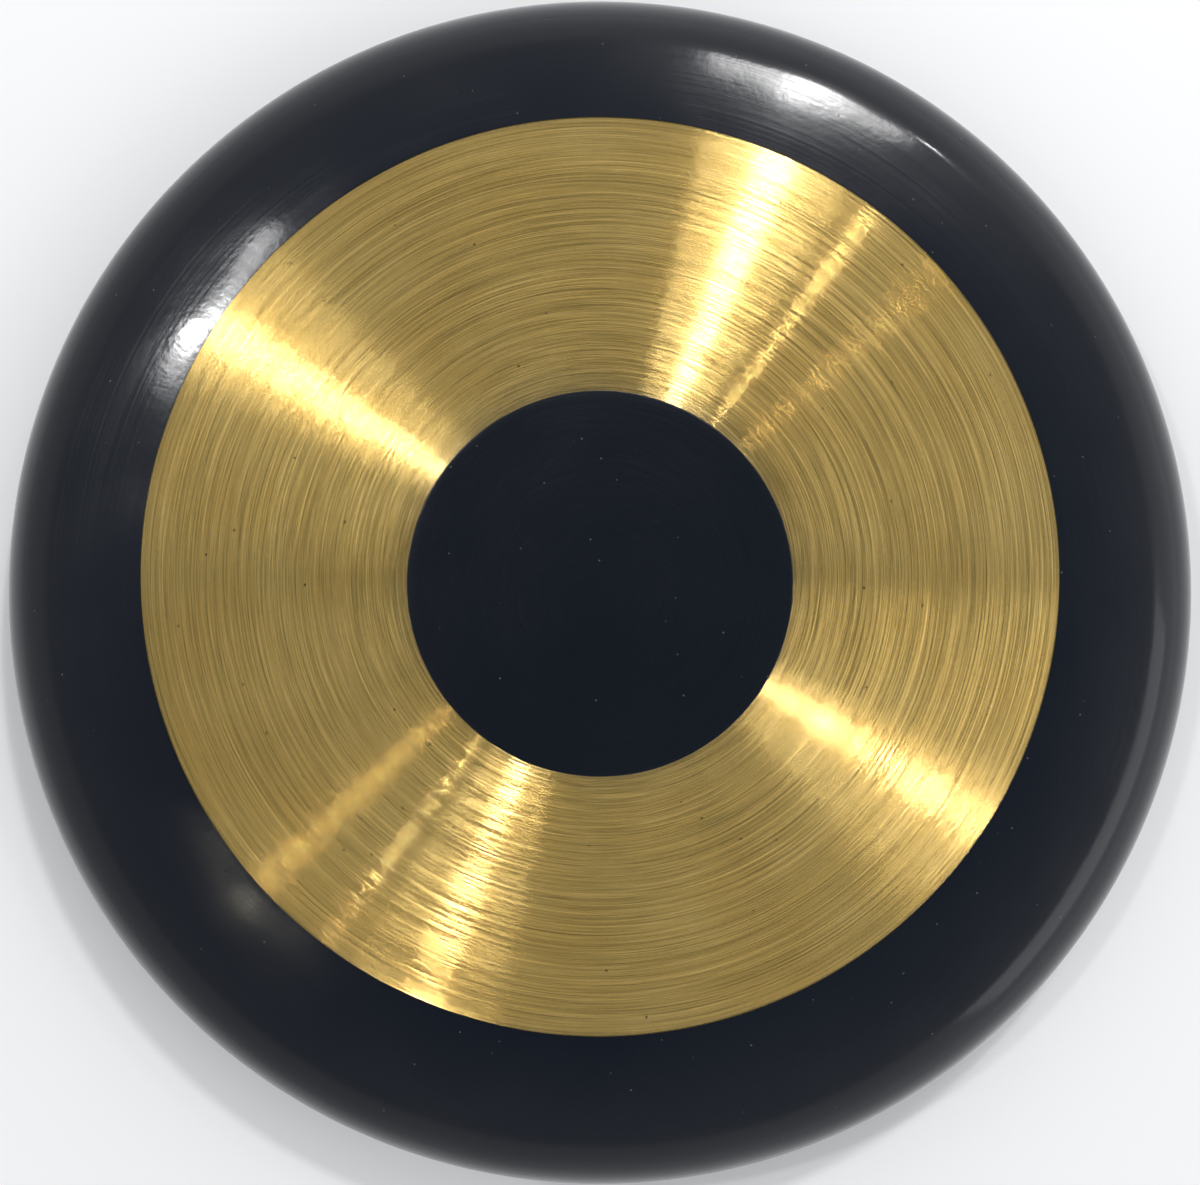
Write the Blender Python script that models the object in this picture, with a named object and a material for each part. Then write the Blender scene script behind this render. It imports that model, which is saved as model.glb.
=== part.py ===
"""A hanging gong: a dished brass plate with a turned-back rim and a black lacquered border, centre and back.

The gong lies face up on the rear edge of its rim. The plate's axis is Z, the face looks up, and the two cord holes
are on the +Y side, which is the top when the gong hangs. Lengths are in metres and angles in radians.
"""

import math

import bmesh
import bpy

# The brass plate
PLATE_DIAMETER = 0.359
PLATE_DEPTH = 0.042
PLATE_WALL = 0.0015

# Its face: a flat middle, a ring that falls gently outwards, and a border that curves over into the shoulder
MIDDLE_RADIUS = 0.078
RING_TILT = math.radians(2.0)
BORDER_RADIUS = 0.128
BORDER_TILT = math.radians(9.0)

# The shoulder, and the rim that turns back from it and leans inwards
SHOULDER_RADIUS = 0.020
RIM_LEAN = math.radians(6.0)

# The bright ring, turned on a lathe a little off the plate's axis, and the round patch of lacquer in its middle
RING_OUTER_RADIUS = 0.135
RING_OFFSET = 0.0047
CENTRE_RADIUS = 0.0565
CENTRE_OFFSET = 0.0026

# The lacquer, its stand-off from the metal, and the bare strip that it leaves at the rear edge
LACQUER_THICKNESS = 0.00025
LACQUER_GAP = 0.0003
BARE_EDGE = 0.0008

# The two holes for the hanging cord
HOLE_DIAMETER = 0.008
HOLE_SPACING = 0.110
HOLE_HEIGHT = 0.016
HOLE_CUT_LENGTH = 0.016

# Fineness of the round shapes
TURNS = 80
SHOULDER_STEPS = 7
BORDER_STEPS = 2
HOLE_SIDES = 24
SHARP_ANGLE = math.radians(35.0)
WELD_DISTANCE = 0.000001


def clear_scene():
    """Remove whatever the scene holds."""
    for old in list(bpy.data.objects):
        bpy.data.objects.remove(old, do_unlink=True)


def make_material(name, colour, roughness, metallic):
    """A plain finish with one colour."""
    material = bpy.data.materials.new(name)
    material.use_nodes = True
    shader = material.node_tree.nodes["Principled BSDF"]
    shader.inputs["Base Color"].default_value = (*colour, 1.0)
    shader.inputs["Roughness"].default_value = roughness
    shader.inputs["Metallic"].default_value = metallic
    return material


def arc(centre, radius, start, end, steps):
    """Stations along an arc that bends over from the tilt start to the tilt end, without the first one."""
    tilts = [start + (end - start) * step / steps for step in range(1, steps + 1)]
    return [(centre[0] + radius * math.sin(tilt), centre[1] + radius * math.cos(tilt), tilt) for tilt in tilts]


def outer_stations():
    """The plate's outer surface from its axis to where the straight rim begins.

    Each station is a radius, a height above the rear edge, and the tilt of the surface's normal from the axis.
    """
    ring_drop = (BORDER_RADIUS - MIDDLE_RADIUS) * math.tan(RING_TILT)
    border_height = PLATE_DEPTH - ring_drop
    shoulder_centre = PLATE_DIAMETER / 2 - SHOULDER_RADIUS
    shoulder_start = shoulder_centre + SHOULDER_RADIUS * math.sin(BORDER_TILT)
    bend = (shoulder_start - BORDER_RADIUS) / (math.sin(BORDER_TILT) - math.sin(RING_TILT))
    bend_centre = (BORDER_RADIUS - bend * math.sin(RING_TILT), border_height - bend * math.cos(RING_TILT))
    stations = [
        (0.0, PLATE_DEPTH, 0.0),
        (MIDDLE_RADIUS, PLATE_DEPTH, RING_TILT / 2),
        (BORDER_RADIUS, border_height, RING_TILT),
    ]
    stations += arc(bend_centre, bend, RING_TILT, BORDER_TILT, BORDER_STEPS)
    shoulder_height = stations[-1][1] - SHOULDER_RADIUS * math.cos(BORDER_TILT)
    rim_tilt = math.pi / 2 + RIM_LEAN
    stations += arc((shoulder_centre, shoulder_height), SHOULDER_RADIUS, BORDER_TILT, rim_tilt, SHOULDER_STEPS)
    return stations


def rim_radius(height, offset):
    """The radius of the straight rim at a height, on the surface that lies offset outside the plate's own."""
    radius, start_height, tilt = outer_stations()[-1]
    start_radius = radius + offset * math.sin(tilt)
    fall = start_height + offset * math.cos(tilt) - height
    return start_radius - fall * math.tan(RIM_LEAN)


def surface(offset, end_height):
    """Radius and height along the surface that lies offset outside the plate's own, down to end_height."""
    points = [(r + offset * math.sin(tilt), z + offset * math.cos(tilt)) for r, z, tilt in outer_stations()]
    return points + [(rim_radius(end_height, offset), end_height)]


def turned_body(name, section, material, centre_y=0.0):
    """Turn a section round the axis. A section that starts and ends on the axis makes a body with no bore."""
    on_axis = section[0][0] == 0.0 and section[-1][0] == 0.0
    mesh = bpy.data.meshes.new(name)
    bm = bmesh.new()
    corners = [bm.verts.new((radius, 0.0, height)) for radius, height in section]
    edges = [bm.edges.new(pair) for pair in zip(corners, corners[1:])]
    if not on_axis:
        edges.append(bm.edges.new((corners[-1], corners[0])))
    bmesh.ops.spin(
        bm,
        geom=corners + edges,
        cent=(0.0, 0.0, 0.0),
        axis=(0.0, 0.0, 1.0),
        angle=2 * math.pi,
        steps=TURNS,
    )
    bmesh.ops.remove_doubles(bm, verts=bm.verts, dist=WELD_DISTANCE)
    bmesh.ops.recalc_face_normals(bm, faces=bm.faces)
    bm.to_mesh(mesh)
    bm.free()
    mesh.shade_smooth()
    mesh.set_sharp_from_angle(angle=SHARP_ANGLE)
    mesh.materials.append(material)
    body = bpy.data.objects.new(name, mesh)
    body.location.y = centre_y
    bpy.context.scene.collection.objects.link(body)
    return body


def make_cutter(name, radius, length, sides):
    """A cylinder along Z that only cuts other bodies."""
    mesh = bpy.data.meshes.new(name)
    bm = bmesh.new()
    bmesh.ops.create_cone(
        bm, cap_ends=True, segments=sides, radius1=radius, radius2=radius, depth=length
    )
    bm.to_mesh(mesh)
    bm.free()
    cutter = bpy.data.objects.new(name, mesh)
    cutter.hide_render = True
    cutter.display_type = "WIRE"
    bpy.context.scene.collection.objects.link(cutter)
    return cutter


def cut(body, cutter):
    """Take the cutter's shape out of the body."""
    modifier = body.modifiers.new(cutter.name, "BOOLEAN")
    modifier.operation = "DIFFERENCE"
    modifier.solver = "EXACT"
    modifier.object = cutter


def make_hole_cutters():
    """Drills for the two cord holes, each pointing straight at the plate's axis."""
    middle_radius = rim_radius(HOLE_HEIGHT, -PLATE_WALL / 2)
    swing = math.asin(HOLE_SPACING / 2 / middle_radius)
    drills = []
    for side, name in ((-1, "left_hole_drill"), (1, "right_hole_drill")):
        angle = math.pi / 2 - side * swing
        drill = make_cutter(name, HOLE_DIAMETER / 2, HOLE_CUT_LENGTH, HOLE_SIDES)
        drill.rotation_euler = (0.0, math.pi / 2, angle)
        drill.location = (middle_radius * math.cos(angle), middle_radius * math.sin(angle), HOLE_HEIGHT)
        drills.append(drill)
    return drills


def make_plate(brass, drills):
    """The whole metal of the gong: face, shoulder and rim in one wall, open at the back."""
    section = surface(0.0, 0.0) + surface(-PLATE_WALL, 0.0)[::-1]
    plate = turned_body("gong_plate", section, brass)
    for drill in drills:
        cut(plate, drill)


def make_border_lacquer(lacquer, drills):
    """The glossy coat from the bright ring over the shoulder and down the outside of the rim."""
    under = surface(LACQUER_GAP, BARE_EDGE)
    over = surface(LACQUER_GAP + LACQUER_THICKNESS, BARE_EDGE)
    coat = turned_body("border_lacquer", over[1:] + under[:0:-1], lacquer)
    ring_tool = make_cutter("ring_tool", RING_OUTER_RADIUS, PLATE_DEPTH, TURNS)
    ring_tool.location = (0.0, RING_OFFSET, PLATE_DEPTH)
    for cutter in (ring_tool, *drills):
        cut(coat, cutter)


def make_centre_lacquer(lacquer):
    """The round patch of lacquer on the flat middle of the face."""
    low = PLATE_DEPTH + LACQUER_GAP
    high = low + LACQUER_THICKNESS
    section = [(0.0, high), (CENTRE_RADIUS, high), (CENTRE_RADIUS, low), (0.0, low)]
    turned_body("centre_lacquer", section, lacquer, CENTRE_OFFSET)


def make_back_lacquer(lacquer, drills):
    """The coat on the back of the face and the inner side of the rim."""
    depth = PLATE_WALL + LACQUER_GAP
    near = surface(-depth, BARE_EDGE)
    far = surface(-depth - LACQUER_THICKNESS, BARE_EDGE)
    coat = turned_body("back_lacquer", near + far[::-1], lacquer)
    for drill in drills:
        cut(coat, drill)


clear_scene()
brass_finish = make_material("turned_brass", (0.75, 0.55, 0.22), 0.32, 1.0)
gloss_finish = make_material("gloss_black_lacquer", (0.008, 0.010, 0.016), 0.08, 0.0)
satin_finish = make_material("satin_black_lacquer", (0.008, 0.011, 0.017), 0.30, 0.0)
back_finish = make_material("dull_black_lacquer", (0.012, 0.012, 0.013), 0.45, 0.0)
cord_drills = make_hole_cutters()
make_plate(brass_finish, cord_drills)
make_border_lacquer(gloss_finish, cord_drills)
make_centre_lacquer(satin_finish)
make_back_lacquer(back_finish, cord_drills)
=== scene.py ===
import math

import bpy
import numpy as np
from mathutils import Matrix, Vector


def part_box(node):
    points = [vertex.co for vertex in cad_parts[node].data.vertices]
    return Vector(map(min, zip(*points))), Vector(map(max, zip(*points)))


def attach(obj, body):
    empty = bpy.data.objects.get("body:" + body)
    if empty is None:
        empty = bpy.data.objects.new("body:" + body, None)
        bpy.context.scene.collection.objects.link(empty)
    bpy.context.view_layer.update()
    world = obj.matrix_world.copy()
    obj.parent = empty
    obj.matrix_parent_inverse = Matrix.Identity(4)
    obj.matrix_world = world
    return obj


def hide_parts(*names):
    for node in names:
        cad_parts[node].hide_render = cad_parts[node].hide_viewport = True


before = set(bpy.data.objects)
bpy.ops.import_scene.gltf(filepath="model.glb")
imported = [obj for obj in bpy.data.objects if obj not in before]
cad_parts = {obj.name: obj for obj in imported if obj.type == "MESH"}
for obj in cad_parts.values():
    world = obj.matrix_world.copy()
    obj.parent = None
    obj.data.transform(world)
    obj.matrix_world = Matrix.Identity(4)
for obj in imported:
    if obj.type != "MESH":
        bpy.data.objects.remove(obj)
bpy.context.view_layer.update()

# The plate
# One sheet of gong brass, worked to a shallow dish and turned back at the edge to a rim that leans inwards.
# The broad ring of its face is cut bright on a lathe and keeps the tool's fine circular lines.

_, plate_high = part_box("gong_plate")
PLATE_RADIUS = 0.1795
PLATE_TOP = plate_high.z
PLATE_WALL = 0.0015
MIDDLE_RADIUS = 0.078
RING_TILT = math.radians(2.0)
BORDER_RADIUS = 0.128
BORDER_TILT = math.radians(9.0)
SHOULDER_RADIUS = 0.020
RIM_LEAN = math.radians(6.0)
RING_RADIUS = 0.135
RING_CENTRE_Y = 0.0047

SHOULDER_CENTRE = PLATE_RADIUS - SHOULDER_RADIUS
SHOULDER_START = SHOULDER_CENTRE + SHOULDER_RADIUS * math.sin(BORDER_TILT)
BORDER_BEND = (SHOULDER_START - BORDER_RADIUS) / (math.sin(BORDER_TILT) - math.sin(RING_TILT))
BORDER_HEIGHT = PLATE_TOP - (BORDER_RADIUS - MIDDLE_RADIUS) * math.tan(RING_TILT)
SHOULDER_HEIGHT = (
    BORDER_HEIGHT
    - BORDER_BEND * (math.cos(RING_TILT) - math.cos(BORDER_TILT))
    - SHOULDER_RADIUS * math.cos(BORDER_TILT)
)

# Fineness of the turned shapes, and the width over which the tilt sets in at the edge of the level middle
AROUND = 384
MIDDLE_ROWS = 24
FALL_ROWS = 60
SHOULDER_ROWS = 40
RIM_ROWS = 14
POLE_RADIUS = 0.004
TILT_FADE = 0.004
SHARP_ANGLE = math.radians(40)

# The brass: its darkest and lightest lines, its aged tint, its pits and its haze next to the centre patch
BRASS_TONES = [(0.3, (0.66, 0.46, 0.145)), (0.7, (0.78, 0.56, 0.195))]
AGED_TONES = [(0.35, (0.94, 0.90, 0.84)), (0.65, (1.0, 1.0, 1.0))]
AGED_SCALE = 28.0
PIT_SCALE = 120.0
PIT_TONES = [(0.02, 0.35), (0.06, 1.0)]
HAZE_START = 0.0560
HAZE_END = 0.0640
HAZE_TONES = [(0.0, (0.74, 0.76, 0.86)), (1.0, (1.0, 1.0, 1.0))]
BRASS_ROUGHNESS = (0.13, 0.22)

# The lathe's grooves and feed lines per metre of radius, how steeply they lean and how they wander
GROOVES_PER_METRE = 14000.0
GROOVE_SLOPE = 2.5
FEEDS_PER_METRE = 900.0
FEED_SLOPE = 0.12
LINE_WANDER = (1.1, 1.1, 0)
LEVEL = (1, 1, 0)


def face_height(radius):
    """Height and tilt: level, then a straight fall, then an arc whose sine of tilt grows with radius."""
    sine = math.sin(RING_TILT) + (radius - BORDER_RADIUS) / BORDER_BEND
    sine = np.clip(sine, math.sin(RING_TILT), math.sin(BORDER_TILT))
    arc = BORDER_HEIGHT - BORDER_BEND * (math.cos(RING_TILT) - np.sqrt(1 - sine**2))
    cone = PLATE_TOP - np.clip(radius - MIDDLE_RADIUS, 0, None) * math.tan(RING_TILT)
    fade = np.clip((radius - MIDDLE_RADIUS + TILT_FADE / 2) / TILT_FADE, 0, 1)
    tilt = np.where(radius > BORDER_RADIUS, np.arcsin(sine), RING_TILT * fade)
    return np.where(radius > BORDER_RADIUS, arc, cone), tilt


def rim_line(end_height):
    """The shoulder as an arc from the border's tilt to the rim's, then a straight line to end_height."""
    tilt = np.linspace(BORDER_TILT, math.pi / 2 + RIM_LEAN, SHOULDER_ROWS)
    radius = SHOULDER_CENTRE + SHOULDER_RADIUS * np.sin(tilt)
    height = SHOULDER_HEIGHT + SHOULDER_RADIUS * np.cos(tilt)
    fall = np.linspace(0, height[-1] - end_height, RIM_ROWS)[1:]
    radius = np.append(radius, radius[-1] - fall * math.tan(RIM_LEAN))
    return radius, np.append(height, height[-1] - fall), np.append(tilt, np.full(fall.size, tilt[-1]))


def turned_mesh(name, radius, height, closed, centre_y=0.0):
    """A grid of profile points by turns: x = r cos a, y = c + r sin a.

    A profile that isn't closed on itself ends in two poles.
    """
    angle = np.linspace(0, 2 * math.pi, AROUND, endpoint=False)
    if radius.ndim == 1:
        radius = np.repeat(radius[:, None], AROUND, 1)
        height = np.repeat(height[:, None], AROUND, 1)
    across, along = radius * np.cos(angle), centre_y + radius * np.sin(angle)
    points = np.stack([across, along, height], -1).reshape(-1, 3)
    rows = radius.shape[0]
    row = np.arange(rows if closed else rows - 1)[:, None] * AROUND
    below = (row + AROUND) % (rows * AROUND)
    column = np.arange(AROUND)[None, :]
    beside = (column + 1) % AROUND
    corners = [row + column, below + column, below + beside, row + beside]
    faces = np.stack(np.broadcast_arrays(*corners), -1).reshape(-1, 4).tolist()
    if not closed:
        last = (rows - 1) * AROUND
        top, bottom = len(points), len(points) + 1
        points = np.vstack([points, [[0, centre_y, height[0, 0]], [0, centre_y, height[-1, 0]]]])
        faces += [[top, i, (i + 1) % AROUND] for i in range(AROUND)]
        faces += [[bottom, last + (i + 1) % AROUND, last + i] for i in range(AROUND)]
    mesh = bpy.data.meshes.new(name)
    mesh.from_pydata(points.tolist(), [], faces)
    mesh.validate()
    mesh.shade_smooth()
    mesh.set_sharp_from_angle(angle=SHARP_ANGLE)
    piece = bpy.data.objects.new(name, mesh)
    bpy.context.scene.collection.objects.link(piece)
    return piece


def plate_section(offset, end_height):
    """The plate's surface moved out by offset along its own normals, from near the axis to end_height."""
    middle = np.linspace(POLE_RADIUS, MIDDLE_RADIUS, MIDDLE_ROWS)
    falling = np.linspace(MIDDLE_RADIUS, SHOULDER_START, FALL_ROWS)[1:]
    radius = np.concatenate([middle, falling])
    height, tilt = face_height(radius)
    rim_radius, rim_height, rim_tilt = rim_line(end_height)
    radius = np.append(radius, rim_radius[1:])
    height = np.append(height, rim_height[1:])
    tilt = np.append(tilt, rim_tilt[1:])
    radius = radius + offset * np.sin(tilt)
    height = height + offset * np.cos(tilt)
    height[-1] = end_height
    return radius, height


def sheet_mesh(name, outer_offset, inner_offset, end_height):
    """A sheet between two surfaces at their offsets from the plate's own, joined at end_height."""
    outer = plate_section(outer_offset, end_height)
    inner = plate_section(inner_offset, end_height)
    radius = np.append(outer[0], inner[0][::-1])
    height = np.append(outer[1], inner[1][::-1])
    return turned_mesh(name, radius, height, closed=False)


def add_node(tree, kind, inputs=None, **settings):
    """A shader node with its settings and its inputs, each a value or a socket to link from."""
    node = tree.nodes.new(kind)
    for key, value in settings.items():
        setattr(node, key, value)
    for key, value in (inputs or {}).items():
        if isinstance(value, bpy.types.NodeSocket):
            tree.links.new(value, node.inputs[key])
        else:
            node.inputs[key].default_value = value
    return node


def vector(tree, operation, inputs, output=0):
    """One step of vector arithmetic."""
    return add_node(tree, "ShaderNodeVectorMath", inputs, operation=operation).outputs[output]


def number(tree, operation, first, second):
    """One step of arithmetic with two numbers."""
    return add_node(tree, "ShaderNodeMath", {0: first, 1: second}, operation=operation).outputs[0]


def noise(tree, place, scale, detail):
    """Cloudy noise at a place."""
    inputs = {"Vector": place, "Scale": scale, "Detail": detail}
    return add_node(tree, "ShaderNodeTexNoise", inputs).outputs["Fac"]


def spots(tree, place, scale):
    """Distance from the nearest of many scattered points."""
    inputs = {"Vector": place, "Scale": scale, "Randomness": 1.0}
    return add_node(tree, "ShaderNodeTexVoronoi", inputs).outputs["Distance"]


def span(tree, value, inputs, clamp=True):
    """A value carried from one range to another."""
    return add_node(tree, "ShaderNodeMapRange", {"Value": value, **inputs}, clamp=clamp).outputs[0]


def mix(tree, blend_type, first, second):
    """Two colours blended in full."""
    inputs = {"Fac": 1.0, "Color1": first, "Color2": second}
    return add_node(tree, "ShaderNodeMixRGB", inputs, blend_type=blend_type).outputs[0]


def ramp(tree, factor, stops):
    """A colour ramp with stops of place and grey or colour."""
    node = add_node(tree, "ShaderNodeValToRGB", {"Fac": factor})
    band = node.color_ramp
    while len(band.elements) < len(stops):
        band.elements.new(0.5)
    for element, (place, colour) in zip(band.elements, stops):
        element.position = place
        element.color = (*colour, 1) if isinstance(colour, tuple) else (colour, colour, colour, 1)
    return node.outputs["Color"]


def lathe_group():
    """Circular lines: noise that changes quickly with the radius and hardly changes round the centre."""
    tree = bpy.data.node_groups.new("turned_lines", "ShaderNodeTree")
    for way, names in (("INPUT", ("Centre Y", "Lines per metre")), ("OUTPUT", ("Lines", "Radius"))):
        for name in names:
            tree.interface.new_socket(name, in_out=way, socket_type="NodeSocketFloat")
    given = tree.nodes.new("NodeGroupInput")
    place = add_node(tree, "ShaderNodeTexCoord").outputs["Object"]
    shift = add_node(tree, "ShaderNodeCombineXYZ", {"Y": given.outputs["Centre Y"]}).outputs[0]
    centred = vector(tree, "SUBTRACT", {0: place, 1: shift})
    flat = vector(tree, "MULTIPLY", {0: centred, 1: LEVEL})
    radius = vector(tree, "LENGTH", {0: flat}, "Value")
    turn = vector(tree, "MULTIPLY", {0: vector(tree, "NORMALIZE", {0: flat}), 1: LINE_WANDER})
    pitch = number(tree, "MULTIPLY", radius, given.outputs["Lines per metre"])
    lift = add_node(tree, "ShaderNodeCombineXYZ", {"Z": pitch}).outputs[0]
    spot = vector(tree, "ADD", {0: turn, 1: lift})
    inputs = {"Vector": spot, "Scale": 1.0, "Detail": 4.0, "Roughness": 0.7}
    lines = add_node(tree, "ShaderNodeTexNoise", inputs).outputs["Fac"]
    result = tree.nodes.new("NodeGroupOutput")
    tree.links.new(lines, result.inputs["Lines"])
    tree.links.new(radius, result.inputs["Radius"])
    return tree


TURNED_LINES = lathe_group()


def lathe_lines(tree, centre_y, per_metre):
    """The circular lines round a centre, as a node of the material."""
    inputs = {"Centre Y": centre_y, "Lines per metre": per_metre}
    return add_node(tree, "ShaderNodeGroup", inputs, node_tree=TURNED_LINES)


def new_material(name):
    """An empty material with its Principled shader."""
    material = bpy.data.materials.new(name)
    material.use_nodes = True
    return material, material.node_tree, material.node_tree.nodes["Principled BSDF"]


def brass_material():
    """Turned brass with pits and a hazy zone by the patch.

    Its lines lean the normal n along the radius e by a slope s, as n + s e, so lamps draw radial streaks.
    """
    material, tree, shader = new_material("turned_brass")
    fine = lathe_lines(tree, RING_CENTRE_Y, GROOVES_PER_METRE)
    coarse = lathe_lines(tree, RING_CENTRE_Y, FEEDS_PER_METRE)
    place = add_node(tree, "ShaderNodeTexCoord").outputs["Object"]
    tone = ramp(tree, coarse.outputs["Lines"], BRASS_TONES)
    aged = ramp(tree, noise(tree, place, AGED_SCALE, 3.0), AGED_TONES)
    pits = ramp(tree, spots(tree, place, PIT_SCALE), PIT_TONES)
    near_patch = {"From Min": HAZE_START, "From Max": HAZE_END}
    haze = ramp(tree, span(tree, fine.outputs["Radius"], near_patch), HAZE_TONES)
    colour = mix(tree, "MULTIPLY", mix(tree, "MULTIPLY", mix(tree, "MULTIPLY", tone, aged), pits), haze)
    tree.links.new(colour, shader.inputs["Base Color"])
    shader.inputs["Metallic"].default_value = 1.0
    smooth, dull = BRASS_ROUGHNESS
    rough = span(tree, fine.outputs["Lines"], {"To Min": smooth, "To Max": dull})
    tree.links.new(rough, shader.inputs["Roughness"])
    shader.inputs["Anisotropic"].default_value = 1.0
    shift = {"Vector": place, "Location": (0, -RING_CENTRE_Y, 0)}
    centred = add_node(tree, "ShaderNodeMapping", shift).outputs[0]
    across = vector(tree, "NORMALIZE", {0: vector(tree, "MULTIPLY", {0: centred, 1: LEVEL})})
    tree.links.new(across, shader.inputs["Tangent"])
    groove = {"To Min": -GROOVE_SLOPE, "To Max": GROOVE_SLOPE}
    feed = {"To Min": -FEED_SLOPE, "To Max": FEED_SLOPE}
    fine_slope = span(tree, fine.outputs["Lines"], groove, clamp=False)
    coarse_slope = span(tree, coarse.outputs["Lines"], feed, clamp=False)
    slope = number(tree, "ADD", fine_slope, coarse_slope)
    lean = vector(tree, "SCALE", {0: across, "Scale": slope})
    face = add_node(tree, "ShaderNodeNewGeometry").outputs["Normal"]
    normal = vector(tree, "NORMALIZE", {0: vector(tree, "ADD", {0: face, 1: lean})})
    tree.links.new(normal, shader.inputs["Normal"])
    return material


plate = sheet_mesh("brass_plate", 0.0, -PLATE_WALL, 0.0)
plate.data.materials.append(brass_material())
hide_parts("gong_plate")
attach(plate, "root")


# The border lacquer
# Glossy blue-black lacquer, sprayed over the border, the shoulder and the outside of the rim, and cut back to
# a clean circle where the lathe tool exposed the brass. Polishing has left fine scratches round it.

LACQUER_GAP = 0.00005
LACQUER_THICKNESS = 0.00018
BARE_EDGE = 0.0008
BORDER_ROWS = 30
BORDER_ROW_SPACING = 1.6

# Scales of the orange peel, the slow wave, the worn places and the dust, and how high the slow wave stands
PEEL_SCALE = 420.0
WAVE_SCALE = 22.0
WAVE_HEIGHT = 0.002
WAVE_STRENGTH = 0.5
WEAR_SCALE = 16.0
DUST_SCALE = 150.0
DUST_TONES = [(0.015, 0.10), (0.05, 0.0)]
SCRATCHES_PER_METRE = 3000.0
SCRATCH_RANGE = {"From Min": 0.15, "From Max": 0.40}

# The gloss, and the faint haze that polishing leaves over it
GLOSS = {"IOR": 1.42, "Coat Weight": 0.3, "Coat Roughness": 0.32, "Coat IOR": 1.3}


def border_coat():
    """Rows from the off-centre cut edge, r = c sin a + sqrt(R^2 - c^2 cos^2 a), to the rim's bare edge."""
    angle = np.linspace(0, 2 * math.pi, AROUND, endpoint=False)
    cut = RING_CENTRE_Y * np.sin(angle)
    cut = cut + np.sqrt(RING_RADIUS**2 - (RING_CENTRE_Y * np.cos(angle)) ** 2)
    share = np.linspace(0, 1, BORDER_ROWS)[:, None] ** BORDER_ROW_SPACING
    radius = cut[None, :] + (SHOULDER_START - cut[None, :]) * share
    height, tilt = face_height(radius)
    rim_radius, rim_height, rim_tilt = rim_line(BARE_EDGE)
    spread = np.ones(AROUND)[None, :]
    radius = np.vstack([radius, rim_radius[1:, None] * spread])
    height = np.vstack([height, rim_height[1:, None] * spread])
    tilt = np.vstack([tilt, rim_tilt[1:, None] * spread])
    over = LACQUER_GAP + LACQUER_THICKNESS
    outside = radius + over * np.sin(tilt), height + over * np.cos(tilt)
    inside = radius + LACQUER_GAP * np.sin(tilt), height + LACQUER_GAP * np.cos(tilt)
    return np.vstack([outside[0], inside[0][::-1]]), np.vstack([outside[1], inside[1][::-1]])


def lacquer_material(name, colour, roughness, peel, scratches):
    """Sprayed lacquer: orange peel as soft bumps, circular polishing scratches and specks of dust."""
    material, tree, shader = new_material(name)
    place = add_node(tree, "ShaderNodeTexCoord").outputs["Object"]
    dust = ramp(tree, spots(tree, place, DUST_SCALE), DUST_TONES)
    tree.links.new(mix(tree, "ADD", (*colour, 1), dust), shader.inputs["Base Color"])
    lines = lathe_lines(tree, 0.0, SCRATCHES_PER_METRE).outputs["Lines"]
    streak = number(tree, "MULTIPLY", lines, noise(tree, place, WEAR_SCALE, 4.0))
    dullness = {**SCRATCH_RANGE, "To Min": roughness, "To Max": roughness + scratches}
    tree.links.new(span(tree, streak, dullness), shader.inputs["Roughness"])
    for key, value in GLOSS.items():
        shader.inputs[key].default_value = value
    wave = noise(tree, place, WAVE_SCALE, 1.0)
    slow = {"Strength": WAVE_STRENGTH, "Distance": WAVE_HEIGHT, "Height": wave}
    first = add_node(tree, "ShaderNodeBump", slow).outputs[0]
    ripple = noise(tree, place, PEEL_SCALE, 2.0)
    quick = {"Strength": 1.0, "Distance": peel, "Height": ripple, "Normal": first}
    tree.links.new(add_node(tree, "ShaderNodeBump", quick).outputs[0], shader.inputs["Normal"])
    return material


border = turned_mesh("border_lacquer_coat", *border_coat(), closed=True)
gloss_lacquer = lacquer_material(
    "gloss_black_lacquer", colour=(0.002, 0.004, 0.009), roughness=0.08, peel=0.00002, scratches=0.16
)
border.data.materials.append(gloss_lacquer)
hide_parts("border_lacquer")
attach(border, "root")


# The centre lacquer
# A round patch of the same lacquer on the flat middle of the face, sprayed through a mask after the turning
# and left unpolished, so it is less glossy and shows its orange peel.

CENTRE_RADIUS = 0.0565
CENTRE_Y = 0.0026
PATCH_POLE_RADIUS = 0.003
PATCH_ROWS = 24
PATCH_EDGE_STEPS = 6
PATCH_EDGE_WIDTH = LACQUER_THICKNESS * 2


def patch_section():
    """A level top with a quarter-round edge, closed by a level underside."""
    underside = PLATE_TOP + LACQUER_GAP
    bend = np.linspace(0, math.pi / 2, PATCH_EDGE_STEPS)
    edge = CENTRE_RADIUS - PATCH_EDGE_WIDTH * (1 - np.sin(bend))
    rise = underside + LACQUER_THICKNESS * np.cos(bend)
    level = np.linspace(PATCH_POLE_RADIUS, edge[0], PATCH_ROWS)[:-1]
    radius = np.concatenate([level, edge, [PATCH_POLE_RADIUS]])
    height = np.concatenate([np.full(level.size, rise[0]), rise, [underside]])
    return radius, height


centre = turned_mesh("centre_lacquer_patch", *patch_section(), closed=False, centre_y=CENTRE_Y)
satin_lacquer = lacquer_material(
    "satin_black_lacquer", colour=(0.002, 0.004, 0.008), roughness=0.22, peel=0.00005, scratches=0.08
)
centre.data.materials.append(satin_lacquer)
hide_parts("centre_lacquer")
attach(centre, "root")


# The back lacquer
# A plain dull coat of lacquer on the back of the face and the inside of the rim.
# It is sprayed on and left as it dries.

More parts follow.
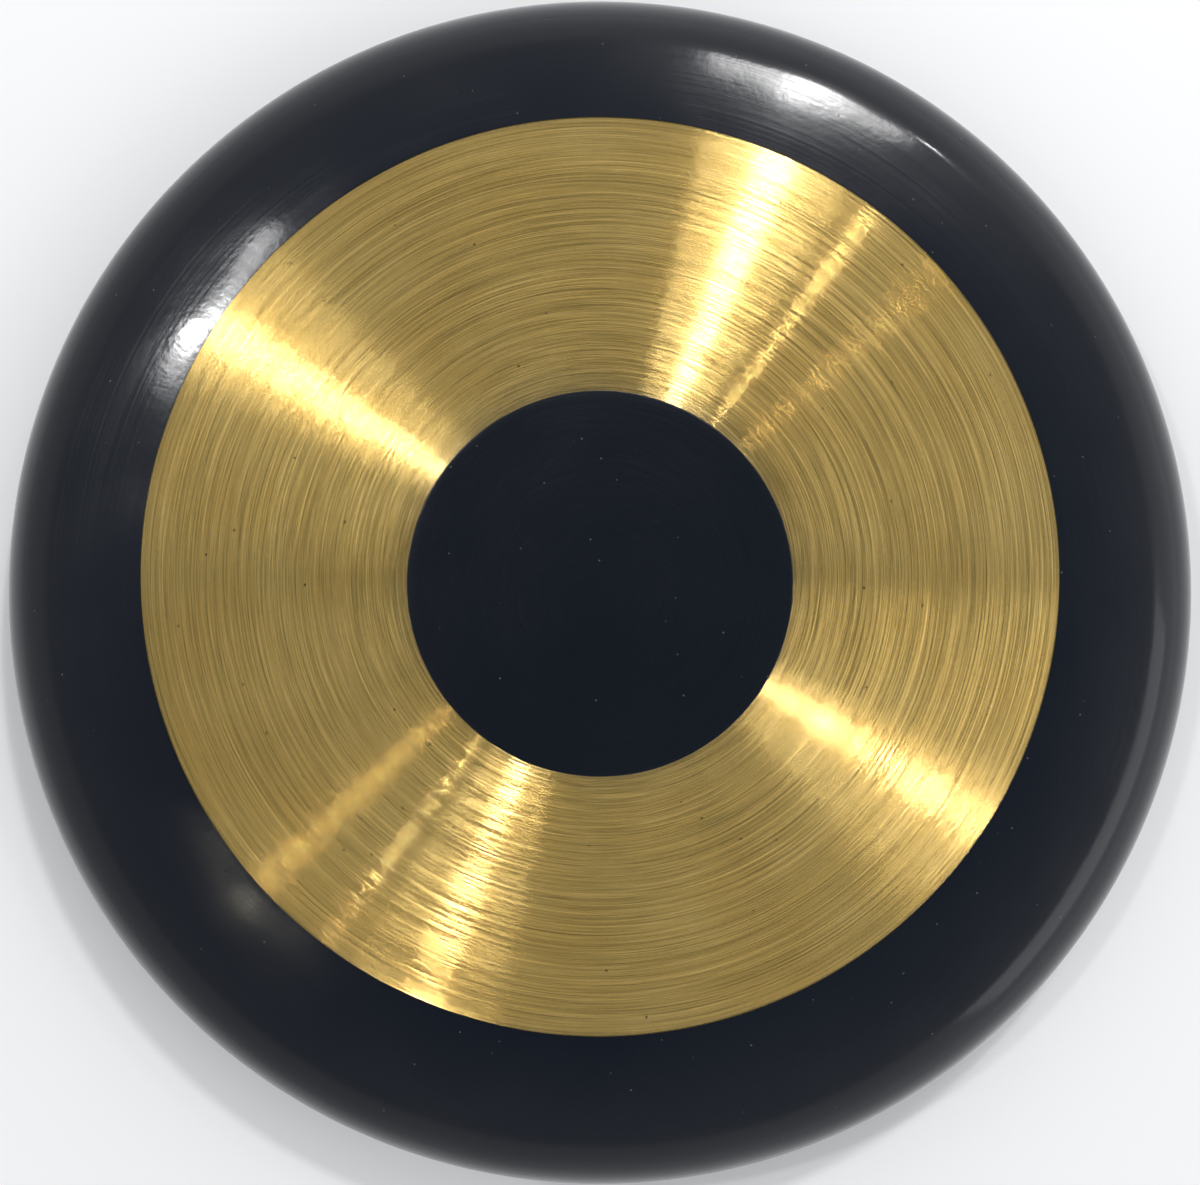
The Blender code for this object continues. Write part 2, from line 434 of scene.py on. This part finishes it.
near_offset = -PLATE_WALL - LACQUER_GAP
back = sheet_mesh("back_lacquer_coat", near_offset, near_offset - LACQUER_THICKNESS, BARE_EDGE)
dull_lacquer = lacquer_material(
    "dull_black_lacquer", colour=(0.010, 0.010, 0.011), roughness=0.40, peel=0.0001, scratches=0.10
)
back.data.materials.append(dull_lacquer)
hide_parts("back_lacquer")
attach(back, "root")


# The cord holes
# Two plain round holes drilled through the lacquered rim at its top, for the hanging cord.
# They point at the plate's axis and go through the metal and both coats.

HOLE_RADIUS = 0.004
HOLE_SPACING = 0.110
HOLE_HEIGHT = 0.016
HOLE_PLACE = 0.1787
DRILL_LENGTH = 0.016
DRILL_SIDES = 48


def drill_hole(side):
    """A drill that points at the plate's axis, on the left or the right of its top."""
    swing = math.asin(HOLE_SPACING / 2 / HOLE_PLACE)
    angle = math.pi / 2 - side * swing
    bpy.ops.mesh.primitive_cylinder_add(
        vertices=DRILL_SIDES,
        radius=HOLE_RADIUS,
        depth=DRILL_LENGTH,
        location=(HOLE_PLACE * math.cos(angle), HOLE_PLACE * math.sin(angle), HOLE_HEIGHT),
        rotation=(0, math.pi / 2, angle),
    )
    return bpy.context.object


def cut_holes(piece, drills):
    """Cut the drills out of a piece and keep the result as its mesh."""
    for drill in drills:
        cut = piece.modifiers.new(drill.name, "BOOLEAN")
        cut.operation = "DIFFERENCE"
        cut.object = drill
    evaluated = piece.evaluated_get(bpy.context.evaluated_depsgraph_get())
    shape = bpy.data.meshes.new_from_object(evaluated)
    piece.modifiers.clear()
    piece.data = shape


cord_drills = [drill_hole(-1), drill_hole(1)]
for piece in (plate, border, back):
    cut_holes(piece, cord_drills)
for drill in cord_drills:
    bpy.data.objects.remove(drill)


# The floor, the lamps and the camera
# A wide pale floor, a pale room that is darker overhead, and lamps whose places give the brass its streaks.
# The camera looks straight down at the face, and the gong fills its frame as it fills the photograph.

FLOOR_HALF = 40.0
FLOOR_COLOUR = (0.95, 0.95, 0.95, 1)
FLOOR_ROUGHNESS = 0.6


def floor_sheet():
    """A level floor that is almost white where the gong's shadow doesn't fall."""
    mesh = bpy.data.meshes.new("floor")
    low, high = -FLOOR_HALF, FLOOR_HALF
    mesh.from_pydata([(low, low, 0), (high, low, 0), (high, high, 0), (low, high, 0)], [], [(0, 1, 2, 3)])
    floor = bpy.data.objects.new("floor", mesh)
    bpy.context.scene.collection.objects.link(floor)
    material, _, shader = new_material("pale_floor")
    shader.inputs["Base Color"].default_value = FLOOR_COLOUR
    shader.inputs["Roughness"].default_value = FLOOR_ROUGHNESS
    mesh.materials.append(material)


floor_sheet()

# Each lamp: name, azimuth and lean from the vertical in degrees, distance, width and length, watts, colour
WHITE_LIGHT = (1, 1, 1)
WARM_LIGHT = (1, 0.9, 0.7)
LAMPS = (
    ("lamp_upper_right", 67.5, 38, 2.0, (0.10, 0.16), 7, WHITE_LIGHT),
    ("glow_upper_right", 67.5, 38, 2.0, (0.40, 0.12), 4, WHITE_LIGHT),
    ("lamp_upper_right_small", 54.0, 44, 2.0, (0.03, 0.08), 1.0, WHITE_LIGHT),
    ("lamp_upper_left", 145.5, 27, 2.0, (0.07, 0.12), 3.5, WHITE_LIGHT),
    ("glow_upper_left", 143.0, 27, 2.0, (0.30, 0.12), 1.5, WHITE_LIGHT),
    ("lamp_lower_left", 220.7, 25, 2.0, (0.03, 0.04), 0.35, WARM_LIGHT),
    ("soft_right", -25, 55, 2.4, (1.6, 1.0), 6, WHITE_LIGHT),
)


def lamp(name, azimuth, lean, distance, size, watts, colour):
    """An area lamp at an azimuth and a lean from the vertical as seen from the gong's face, turned to it."""
    turn, tip = math.radians(azimuth), math.radians(lean)
    data = bpy.data.lights.new(name, "AREA")
    data.shape = "RECTANGLE"
    data.size, data.size_y = size
    data.energy = watts
    data.color = colour
    way = Vector((math.sin(tip) * math.cos(turn), math.sin(tip) * math.sin(turn), math.cos(tip)))
    place = way * distance
    light = bpy.data.objects.new(name, data)
    light.location = place + Vector((0, 0, PLATE_TOP))
    light.rotation_euler = place.to_track_quat("Z", "Y").to_euler()
    light.visible_camera = False
    bpy.context.scene.collection.objects.link(light)


for row in LAMPS:
    lamp(*row)

# The room's light by the upward part of its direction, and how it brightens to the right and to the top
ROOM_TONES = [
    (0.0, (1.0, 1.0, 1.0)),
    (0.7, (0.76, 0.76, 0.77)),
    (0.9, (0.28, 0.30, 0.33)),
    (1.0, (0.07, 0.09, 0.12)),
]
BRIGHTER_WAY = (0.25, 0.15, 0.0)

world = bpy.data.worlds.new("room")
bpy.context.scene.world = world
world.use_nodes = True
room = world.node_tree
background = room.nodes["Background"]
way = add_node(room, "ShaderNodeTexCoord").outputs["Generated"]
upward = add_node(room, "ShaderNodeSeparateXYZ", {0: way}).outputs["Z"]
room.links.new(ramp(room, upward, ROOM_TONES), background.inputs["Color"])
towards = vector(room, "DOT_PRODUCT", {0: way, 1: BRIGHTER_WAY}, "Value")
room.links.new(number(room, "ADD", towards, 1.0), background.inputs["Strength"])

# Half the photograph's width and the gong's radius in it, in pixels, and the gong's own radius
PHOTO_HALF_WIDTH = 600.0
PHOTO_GONG_RADIUS = 589.0
GONG_RADIUS = 0.1800
CAMERA_HEIGHT = 0.60
HALF_SENSOR = 18.0
HALF_FRAME = PHOTO_HALF_WIDTH / PHOTO_GONG_RADIUS * GONG_RADIUS

camera_data = bpy.data.cameras.new("camera")
camera = bpy.data.objects.new("camera", camera_data)
camera.location = (0, 0, CAMERA_HEIGHT)
camera_data.sensor_width = 2 * HALF_SENSOR
camera_data.lens = HALF_SENSOR * (CAMERA_HEIGHT - SHOULDER_HEIGHT) / HALF_FRAME
bpy.context.scene.collection.objects.link(camera)
bpy.context.scene.camera = camera
bpy.context.scene.view_settings.view_transform = "Standard"
